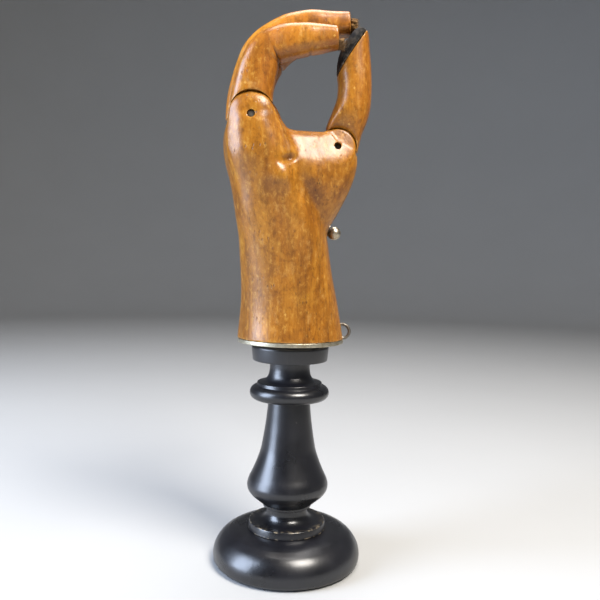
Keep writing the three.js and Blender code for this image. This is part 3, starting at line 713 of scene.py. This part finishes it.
def tongue_slot(y, hinge, y_range, radius, short_by, way_in):
    """The slot that a tongue turns in, short of the knuckle's rim, and its way in between two angles."""
    out, angle = hinge
    middle = sum(y_range) / 2
    way = both(out - radius - 6, wedge(out, angle, *np.radians(way_in)))
    return both(either(out - radius + short_by, way), slab(y, middle - TONGUE - GAP, middle + TONGUE + GAP))


def finger_sweep(x, y, z, finger):
    """The room that a finger's end needs over its knuckle as it opens."""
    y_range, radius, back = finger[:3]
    out, angle = from_pivot(x, z, (KNUCKLE_X, KNUCKLE_Z))
    opened = math.radians(back + FINGER_OPENS + 1.5)
    way = both(wedge(out, angle, math.radians(60), opened), radius + 0.05 - out)
    return both(way, slab(y, y_range[0] - 0.1, y_range[1] + 0.1))


def brake_pocket(x, y, z):
    """The hollow round the rocker's hub, below it for one arm, and up to the thumb for the other."""
    reach = ROCKER_HUB + 2
    middle = sum(THUMB_Y) / 2
    back = ROCKER_X - 7
    hub_x, arm, shoe = (back, ROCKER_X + reach), (-4, 4), (middle - 3.8, middle + 3.8)
    rooms = [
        (hub_x, (ROCKER_Y[0] - 1.5, ROCKER_Y[1] + 1.5), (ROCKER_Z - reach, ROCKER_Z + reach)),
        ((back, 12), arm, (172, 192)),
        (hub_x, arm, (172, ROCKER_Z)),
        ((ROCKER_X, 22), shoe, (198.5, 217)),
        ((ROCKER_X, 27.6), shoe, (205, 217)),
    ]
    return np.minimum.reduce([box(x, y, z, *room) for room in rooms])


def palm_bores(x, y, z):
    """The holes for pins, the knob, the wire eye's legs and the screws, and the hollow wrist."""
    thumb_out = np.hypot(x - THUMB_X, z - THUMB_Z)
    knob_out = np.hypot(y, z - KNOB_Z)
    bores = [
        np.hypot(x - KNUCKLE_X, z - KNUCKLE_Z) - KNUCKLE_PIN - GAP,
        both(thumb_out - THUMB_PIN - GAP, y),
        both(np.hypot(x - ROCKER_X, z - ROCKER_Z) - THUMB_PIN - GAP, slab(y, -25, 11)),
        both(knob_out - BUSH_RADIUS - GAP, 10 - x),
        both(knob_out - KNOB_BALL - 0.8, BUSH_OUTER - x),
        both(np.hypot(x + 2, y) - WRIST_HOLLOW, z - WRIST_HOLLOW_TOP),
    ]
    bores += [both(np.hypot(y, z - leg) - EYE_WIRE - 0.2, EYE_X - EYE_LEG - 1 - x) for leg in EYE_LEGS]
    bores += [both(np.hypot(x - sx, y - sy) - SCREW_BORE, z - 134) for sx, sy in PLATE_SCREWS]
    return np.minimum.reduce(bores)


def web_lean(x, z, most=8.3, knee=1.3):
    """How far the front of the web and the thumb's lobe falls back, up to a cheek over the tongue."""
    lean = 0.22 * (x - 12) + 1.25 * np.logaddexp(0, (z - 213) / 3)
    return most - knee * np.logaddexp(0, (most - lean) / knee)


def all_knuckles(x, y, z):
    knuckles = None
    for name, finger in FINGERS.items():
        one = knuckle(x, y, z, finger, {"index": -1, "little": 1}.get(name, 0))
        knuckles = one if knuckles is None else either(knuckles, one, 1.2)
    return knuckles


def thumb_base(x, y, z):
    """The ball of the thumb and the web, and the lobe that the thumb turns on, in a notch at the top."""
    out, angle = from_pivot(x, z, (THUMB_X, THUMB_Z))
    lean = web_lean(x, z)
    thenar = level_body(THENAR, x, y - lean, z, (6.0, 5.0))
    notch = both(out - 20, wedge(out, angle, math.radians(-21), math.radians(125)))
    thenar = without(thenar, notch, 0.5)
    lobe = both(out - THUMB_RADIUS, slab(y, WEB_FRONT + 0.3 + lean + 0.012 * out**2, THUMB_Y[1]), 1.2)
    return either(thenar, lobe, 2.5)


# The palm's hollows and swellings: depth, middle, size and lean in degrees
VALLEY = (1.5, (8, -29, 199), (17, 12, 4.6), -57.5)
CREASE = (2.4, (-2.2, -37, 215.8), (3.6, 9, 1.7), 22)
BULGE = (-3.1, (-4.6, -35, 207.2), (7.4, 9, 5.8), 4)


def palm_distance(x, y, z):
    body = level_body(PALM, x, y, z, (0.5, 3.5))
    body = either(body, all_knuckles(x, y, z), 5.0)
    body = either(body, thumb_base(x, y, z), 3.5 + 3.0 * rise(z, 196, 222))
    for depth, centre, size, turn in (VALLEY, CREASE, BULGE):
        body = body + depth * bump(x, y, z, centre, size, math.radians(turn))
    body = body + carved(x, y, z, 0.06)
    hinge = from_pivot(x, z, (KNUCKLE_X, KNUCKLE_Z))
    for finger in FINGERS.values():
        body = without(body, tongue_slot(y, hinge, *finger[:2], 0.6, (40, 174)), 0.4)
        body = without(body, finger_sweep(x, y, z, finger), 0.2)
    hinge = from_pivot(x, z, (THUMB_X, THUMB_Z))
    body = without(body, tongue_slot(y, hinge, THUMB_Y, THUMB_RADIUS, 0.4, (-10, 118)), 0.4)
    return without(without(body, palm_bores(x, y, z), 0.3), brake_pocket(x, y, z))


def make_palm():
    palm = solid("palm_carving", palm_distance, (-38.5, -39, 124), (34, 37, 251))
    finish_piece(palm, "hand", ["palm"], "fruitwood", "palm")


# ---- Fingers ----
def finger_swell(share):
    """Wider at the two middle joints, waisted between them."""
    return 1.0 * np.exp(-(((share - 0.52) / 0.07) ** 2)) + 0.7 * np.exp(-(((share - 0.8) / 0.06) ** 2)) - 0.5


def finger_distance(finger):
    y_range, radius, back, tip, spine = finger
    wide = y_range[1] - y_range[0] - 0.9
    limb = Limb((KNUCKLE_X, KNUCKLE_Z), spine, y_range, (wide, tip + 1), 2.5)
    middle = sum(y_range) / 2

    def distance(x, y, z):
        blank = limb.distance(x, y, z, finger_swell, 0.9)
        out, angle = from_pivot(x, z, (KNUCKLE_X, KNUCKLE_Z))
        body = without(blank, out - radius - GAP, 0.5)
        body = both(body, wedge(out, angle, FINGER_FRONT, math.radians(back)), 0.5)
        share, across = limb.frame(x, z)
        for at, depth in ((0.52, 0.9), (0.8, 0.4)):
            crease = np.exp(-(((share - at) / 0.012) ** 2)) * np.clip(across / 6, 0, 1)
            body = body + depth * crease
        body = body + carved(x, y, z, 0.1)
        neck = both(blank, wedge(out, angle, math.radians(52), math.radians(148)))
        neck = both(neck, out - radius - 5)
        tongue = both(either(neck, out - radius + 1), slab(y, middle - TONGUE, middle + TONGUE), 0.3)
        return without(either(body, tongue), out - KNUCKLE_PIN - GAP)

    return distance


def make_fingers():
    for name, finger in FINGERS.items():
        y_range, spine = finger[0], finger[4]
        reach = max(p[0] for p in spine) + KNUCKLE_X + 4
        top = max(p[1] + p[2] / 2 for p in spine) + KNUCKLE_Z + 2
        low = (-38.5, y_range[0] - 0.5, 222)
        high = (reach, y_range[1] + 0.5, top)
        obj = solid(f"{name}_carving", finger_distance(finger), low, high, STEP * 0.9)
        finish_piece(obj, name, [f"finger_{name}"], "fruitwood", f"finger_{name}")


# ---- The thumb ----
def pad_side(x, z, offset=0.0):
    """Distance from the slanting face that holds the pad; negative on the pad's side."""
    dx, dz = PAD_TO[0] - PAD_FROM[0], PAD_TO[1] - PAD_FROM[1]
    length = math.hypot(dx, dz)
    return ((x - PAD_FROM[0]) * dz - (z - PAD_FROM[1]) * dx) / length + offset


THUMB_LIMB = Limb((THUMB_X, THUMB_Z), THUMB_SPINE, THUMB_Y, (THUMB_WIDTH, THUMB_TIP), 2.3)


def thumb_blank(x, y, z):
    return THUMB_LIMB.distance(x, y, z, None, 1.4)


def thumb_front(x, z, out):
    """y of the thumb's front above its hinge: near the lobe's front at the rim, then further out."""
    rim = THUMB_RADIUS / np.maximum(out, THUMB_RADIUS)
    lean = web_lean(THUMB_X + (x - THUMB_X) * rim, THUMB_Z + (z - THUMB_Z) * rim)
    return WEB_FRONT + 0.9 + lean - 0.45 * (out - THUMB_RADIUS)


def thumb_distance(x, y, z):
    blank = thumb_blank(x, y, z)
    out, angle = from_pivot(x, z, (THUMB_X, THUMB_Z))
    body = without(blank, out - THUMB_RADIUS - GAP, 0.5)
    body = both(body, wedge(out, angle, math.radians(-12), math.radians(122)), 0.5)
    body = both(body, thumb_front(x, z, out) - y, 2.5)
    body = without(body, pad_side(x, z), 0.5) + carved(x, y, z, 0.1)
    middle = sum(THUMB_Y) / 2
    neck = both(both(blank, out - THUMB_RADIUS - 4.2), wedge(out, angle, math.radians(8), math.radians(100)))
    plate = either(neck, out - THUMB_RADIUS + 0.8)
    tongue = both(plate, slab(y, middle - TONGUE, middle + TONGUE), 0.3)
    return without(either(body, tongue), out - THUMB_PIN - GAP)


def thumb_pad_distance(x, y, z):
    """As thick as the thumb's missing inner side, with a frayed face, and cut level at the tip."""
    pad = both(thumb_blank(x, y, z), pad_side(x, z, GAP), 0.5)
    frayed = 0.07 * np.sin(1.5 * z + 0.5 * y) * np.sin(0.9 * y) + 0.04 * np.sin(3.1 * z - 1.9 * y)
    return pad + frayed


def make_thumb():
    obj = solid("thumb_carving", thumb_distance, (13, -28, 213), (41, -3, 287), STEP * 0.9)
    finish_piece(obj, "thumb", ["thumb"], "fruitwood", "thumb")
    pad = solid("thumb_cushion", thumb_pad_distance, (20, -27, 260), (38, -4, 288), STEP * 0.8)
    finish_piece(pad, "thumb", ["thumb_pad"], "rubber")


# ---- Felt at the fingertips ----
def tuft(name, body, node, seed, fibres, height, shift):
    """A matted plug of felt with loose fibres, moved in x and z from the CAD's felt."""
    rng = np.random.default_rng(seed)
    low, high = (np.array(corner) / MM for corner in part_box(node))
    centre, half = (low + high) / 2 + (shift[0], 0, shift[1]), (high - low) / 2 * (1.15, 0.9, height)

    def distance(x, y, z):
        side = superellipse(y - centre[1], z - centre[2], half[1], half[2], 2.6)
        plug = both(side, np.abs(x - centre[0]) - half[0] + 0.3, 1.0)
        wave = np.sin(1.9 * y + 0.7 * z) * np.sin(1.6 * z + 1.1 * x) + 0.5 * np.sin(3.7 * y - 2.9 * z)
        return plug + 0.35 * wave

    obj = solid(name, distance, low - 1, high + 1, STEP * 0.7)
    points, faces = fibre_mesh(rng, centre, half, fibres)
    start = len(obj.data.vertices)
    all_points = [tuple(v.co) for v in obj.data.vertices] + [tuple(p) for p in points * MM]
    all_faces = [tuple(p.vertices) for p in obj.data.polygons]
    all_faces += [tuple(start + i for i in face) for face in faces]
    mesh = obj.data
    mesh.clear_geometry()
    mesh.from_pydata(all_points, [], all_faces)
    mesh.polygons.foreach_set("use_smooth", [True] * len(mesh.polygons))
    finish_piece(obj, body, [node], "felt")


def fibre_mesh(rng, centre, half, count, bends=4, thick=0.055):
    """Curling three-sided fibres that start in the felt and lean towards +X and down."""
    points, faces = [], []
    for _ in range(count):
        start = centre + rng.uniform(-1, 1, 3) * half * (0.9, 0.85, 0.9)
        heading = np.array([1.0, 0, -0.5]) + rng.normal(0, 0.6, 3)
        for bend in range(bends + 1):
            heading = heading / np.linalg.norm(heading)
            side = np.cross(heading, (0.3, 0.9, 0.2))
            side /= np.linalg.norm(side)
            other = np.cross(heading, side)
            size = thick * (1 - 0.8 * bend / bends)
            for turn in range(3):
                angle = turn * 2 * math.pi / 3
                points.append(start + size * (math.cos(angle) * side + math.sin(angle) * other))
            start = start + heading * rng.uniform(0.3, 0.8)
            heading = heading + rng.normal(0, 0.45, 3)
        first = len(points) - 3 * (bends + 1)
        for bend in range(bends):
            for turn in range(3):
                a, b = first + 3 * bend + turn, first + 3 * bend + (turn + 1) % 3
                faces.append((a, b, b + 3, a + 3))
        faces.append((first + 2, first + 1, first))
        faces.append((len(points) - 3, len(points) - 2, len(points) - 1))
    return np.array(points), faces


# ---- Metal fittings ----
def capsule_pin(name, x, z, y_range, radius):
    """A pin along Y with eased ends."""
    profile = rounded(
        [(0.02, y_range[0]), (radius, y_range[0]), (radius, y_range[1]), (0.02, y_range[1])], [0.3, 0.3]
    )
    obj = turned(name, profile, 40)
    obj.data.transform(Matrix.Rotation(-math.pi / 2, 4, "X"))
    obj.data.transform(Matrix.Translation(Vector((x, 0, z)) * MM))
    return obj


def release_knob():
    """A ball on a stem, with the stem's head inside the wrist."""
    ball = arc(0, KNOB_X, KNOB_BALL, -62, 89.5, 28)
    head = rounded([(0.02, 9.6), (3, 9.6), (3, 11.4), (1.6, 11.4)], [0.3, 0.3])
    obj = turned("knob_ball", [*head, (1.6, 19), *ball], 64)
    obj.data.transform(Matrix.Rotation(math.pi / 2, 4, "Y"))
    obj.data.transform(Matrix.Translation(Vector((0, 0, KNOB_Z)) * MM))
    return obj


def wire_eye():
    """A bent wire: two legs in the wood and a bow between them."""
    legs = [(EYE_X - EYE_LEG, EYE_X - EYE_LEG / 3), (EYE_X - EYE_LEG / 3, EYE_X - EYE_LEG)]
    bow = arc(EYE_X, EYE_Z, EYE_BEND, -75, 90, 20)
    points = [(at, EYE_LEGS[0]) for at in legs[0]] + bow + [(at, EYE_LEGS[1]) for at in legs[1]]
    line = bpy.data.curves.new("hanging_eye", "CURVE")
    line.dimensions = "3D"
    line.bevel_depth = EYE_WIRE * MM
    line.bevel_resolution = 5
    line.use_fill_caps = True
    spline = line.splines.new("NURBS")
    spline.points.add(len(points) - 1)
    for point, (px, pz) in zip(spline.points, points):
        point.co = (px * MM, 0, pz * MM, 1)
    spline.order_u = 4
    spline.use_endpoint_u = True
    obj = bpy.data.objects.new("hanging_eye", line)
    bpy.context.collection.objects.link(obj)
    return obj


def make_fittings():
    finish_piece(wire_eye(), "hand", ["wire_eye"], "steel")
    pin = capsule_pin("knuckle_rod", KNUCKLE_X, KNUCKLE_Z, (-37.2, 34.6), KNUCKLE_PIN)
    finish_piece(pin, "hand", ["knuckle_pin"], "steel")
    finish_piece(release_knob(), "knob", ["release_knob"], "brass")


def dress_cad():
    """The CAD's own solids that stay take the same materials."""
    by_slot = {part["node"]: part["material_slot"] for part in frame["record"]["subparts"]}
    for name, obj in frame["nodes"].items():
        slot = by_slot[name]
        material = MATERIALS["palm" if slot == "fruitwood" else slot]
        for holder in obj.material_slots:
            holder.material = material


# ---- Studio ----
def flat_material(name, colour, rough):
    s = Shader(name)
    base = s.mix(s.band(s.noise(6, detail=3), 0.3, 0.7, 0, 0.25), colour, tuple(0.9 * c for c in colour))
    return s.finish(Base_Color=base, Roughness=rough)


def make_stage(radius=1.6, bend=0.8, top=3.5, sides=64):
    """A round floor that sweeps up into a backdrop on every side."""
    turns = np.linspace(0, math.pi / 2, 16)
    sweep = [(radius + bend * math.sin(a), bend - bend * math.cos(a)) for a in turns]
    rings = [(0.3, 0), *sweep, (radius + bend, top)]
    points = [
        (r * math.cos(2 * math.pi * side / sides), r * math.sin(2 * math.pi * side / sides), z)
        for r, z in rings
        for side in range(sides)
    ]
    faces = [tuple(range(sides))]
    for ring in range(len(rings) - 1):
        for side in range(sides):
            a, b = ring * sides + side, ring * sides + (side + 1) % sides
            faces.append((b, a, a + sides, b + sides))
    floor = add_mesh("studio_floor", points, faces, sharp=80)
    floor.data.materials.append(flat_material("pale_paper", (0.42, 0.42, 0.415), 0.85))


def softbox(name, at, target, size, power, colour=(1, 1, 1)):
    light = bpy.data.lights.new(name, "AREA")
    light.shape = "RECTANGLE"
    light.size, light.size_y = size
    light.energy = power
    light.color = colour
    obj = bpy.data.objects.new(name, light)
    obj.location = at
    obj.rotation_euler = (Vector(target) - Vector(at)).to_track_quat("-Z", "Y").to_euler()
    bpy.context.collection.objects.link(obj)


def make_lights():
    """A cool window on the left, a soft key high in front on the right, a skylight and a little fill."""
    softbox("window", (-0.85, -0.28, 0.42), (0, 0, 0.13), (0.5, 0.8), 21, (0.66, 0.78, 1))
    softbox("key", (0.34, -0.42, 0.85), (0, 0, 0.2), (0.36, 0.36), 15.5, (1, 0.95, 0.88))
    softbox("skylight", (0.05, 0.2, 1.15), (0, 0.02, 0.25), (0.5, 0.7), 9, (1, 0.97, 0.95))
    softbox("fill", (0.5, -1.5, 0.5), (0, 0, 0.2), (0.9, 0.9), 0.4)
    world = bpy.data.worlds.new("studio")
    world.use_nodes = True
    world.node_tree.nodes["Background"].inputs["Color"].default_value = (1, 0.96, 0.9, 1)
    world.node_tree.nodes["Background"].inputs["Strength"].default_value = 0.055
    bpy.context.scene.world = world


CAMERA_AT = (0.00479, -0.36, 0.16563)  # metres
LENS, LOOK_DOWN, ROLL = 39.61, 0.0584, 0.0216  # millimetres, and radians


def make_camera():
    """A 40 mm lens in front of the thumb side, tipped a little down and rolled a little."""
    camera = bpy.data.cameras.new("camera")
    camera.sensor_width = 36
    camera.lens = LENS
    camera.clip_start = 0.01
    obj = bpy.data.objects.new("camera", camera)
    tip = Matrix.Rotation(math.pi / 2 - LOOK_DOWN, 4, "X")
    obj.matrix_world = Matrix.Translation(CAMERA_AT) @ tip @ Matrix.Rotation(ROLL, 4, "Z")
    bpy.context.collection.objects.link(obj)
    bpy.context.scene.camera = obj


make_camera()
dress_cad()
make_stand()
make_palm()
make_fingers()
make_thumb()
tuft("index_tuft", "index", "index_tip_felt", 11, 420, 0.5, (-0.1, -1.6))
tuft("middle_tuft", "middle", "middle_tip_felt", 23, 700, 1.1, (0.3, -0.6))
make_fittings()
make_stage()
make_lights()
bpy.context.scene.view_settings.view_transform = "Standard"
